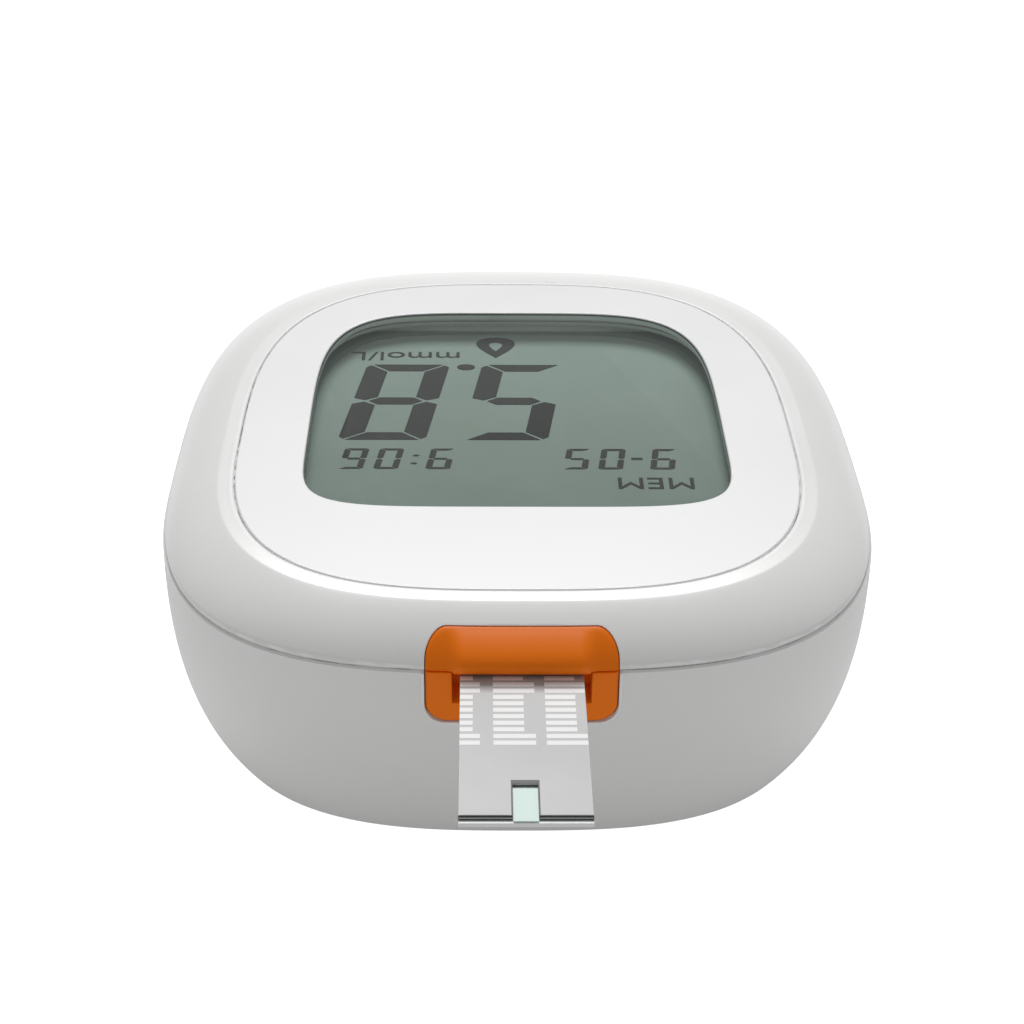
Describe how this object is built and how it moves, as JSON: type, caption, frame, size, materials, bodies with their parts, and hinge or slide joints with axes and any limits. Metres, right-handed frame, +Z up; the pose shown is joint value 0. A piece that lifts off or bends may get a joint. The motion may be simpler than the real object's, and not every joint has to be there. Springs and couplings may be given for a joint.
{
  "type": "blood glucose meter",
  "caption": "Handheld blood glucose meter with a segment display in a rounded white case, an orange strip port with a test strip in it, and a sliding battery door underneath.",
  "frame": {"origin": "on the plane the feet stand on, under the middle of the case", "axes": "+Z up out of the display, -Y out of the strip port, +X across the width"},
  "size_m": [0.0544, 0.0868, 0.0226],
  "materials": {
    "upper_shell": "fine satin moulded ABS, white",
    "lower_shell": "satin moulded ABS, off-white",
    "face_panel": "smooth back-printed panel, white",
    "clear_lens": "polished clear acrylic",
    "orange_plastic": "satin moulded ABS, orange",
    "foot_rubber": "matt grey elastomer",
    "plated_steel": "nickel-plated steel",
    "button_plastic": "satin moulded plastic, light grey",
    "ejector_plastic": "satin acetal, grey",
    "polariser_film": "anti-glare polariser film",
    "display_glass": "thin soda-lime glass",
    "reflector_film": "grey-green reflective film",
    "segment_ink": "switched-on liquid crystal segments",
    "gasket_foam": "thin black foam tape",
    "holder_plastic": "natural moulded plastic",
    "zebra_rubber": "layered conductive elastomer",
    "circuit_board": "green solder mask on glass epoxy",
    "chip_epoxy": "moulded epoxy",
    "ceramic_tan": "sintered ceramic",
    "black_plastic": "glass-filled moulded plastic",
    "gold_plate": "gold-plated spring bronze",
    "cell_steel": "nickel-plated can",
    "cell_sleeve": "shrink sleeve, plain dark grey",
    "strip_film": "white polyester film",
    "electrode_carbon": "screen-printed carbon",
    "strip_cover_film": "grey printed film with plain white bars",
    "reagent": "dried reagent, pale aqua"
  },
  "bodies": {
    "case": {"upper_case": "upper_shell", "lower_case": "lower_shell", "face_panel": "face_panel", "display_lens": "clear_lens", "port_collar_upper": "orange_plastic", "port_collar_lower": "orange_plastic", "rubber_feet": "foot_rubber", "case_screws": "plated_steel", "ejector_spring": "plated_steel", "lcd_front_polariser": "polariser_film", "lcd_front_glass": "display_glass", "lcd_rear_glass": "display_glass", "lcd_reflector": "reflector_film", "lcd_segments": "segment_ink", "lcd_gasket": "gasket_foam", "lcd_holder": "holder_plastic", "zebra_connectors": "zebra_rubber", "main_board": "circuit_board", "board_screws": "plated_steel", "processor_chip": "chip_epoxy", "sensor_chip": "chip_epoxy", "memory_chip": "chip_epoxy", "quartz_crystal": "plated_steel", "chip_resistors": "chip_epoxy", "chip_capacitors": "ceramic_tan", "buzzer": "black_plastic", "memory_switch": "plated_steel", "set_switch": "plated_steel", "strip_connector": "black_plastic", "connector_contacts": "gold_plate", "battery_cells": "cell_steel", "battery_sleeves": "cell_sleeve", "positive_contact": "plated_steel", "negative_contact": "plated_steel", "link_contact": "plated_steel"},
    "door": {"battery_door": "lower_shell"},
    "memory_key": {"memory_button": "button_plastic"},
    "set_key": {"set_button": "button_plastic"},
    "ejector": {"strip_ejector": "ejector_plastic"},
    "strip": {"strip_base": "strip_film", "strip_electrodes": "electrode_carbon", "strip_spacer": "strip_film", "strip_cover": "strip_cover_film", "strip_reagent": "reagent"}
  },
  "joints": [
    {"name": "door_slide", "type": "slide", "parent": "case", "child": "door", "axis": [0, 1, 0], "range_m": [0, 0.045]},
    {"name": "memory_press", "type": "slide", "parent": "case", "child": "memory_key", "axis": [0, -1, 0], "range_m": [0, 0.0006], "stiffness_N_per_m": 1500},
    {"name": "set_press", "type": "slide", "parent": "case", "child": "set_key", "axis": [0, 0, 1], "range_m": [0, 0.0005], "stiffness_N_per_m": 1500},
    {"name": "eject_slide", "type": "slide", "parent": "case", "child": "ejector", "axis": [0, -1, 0], "range_m": [0, 0.006], "stiffness_N_per_m": 150, "deforming": ["ejector_spring"]},
    {"name": "strip_slide", "type": "slide", "parent": "ejector", "child": "strip", "axis": [0, -1, 0], "range_m": [0, 0.016]}
  ]
}
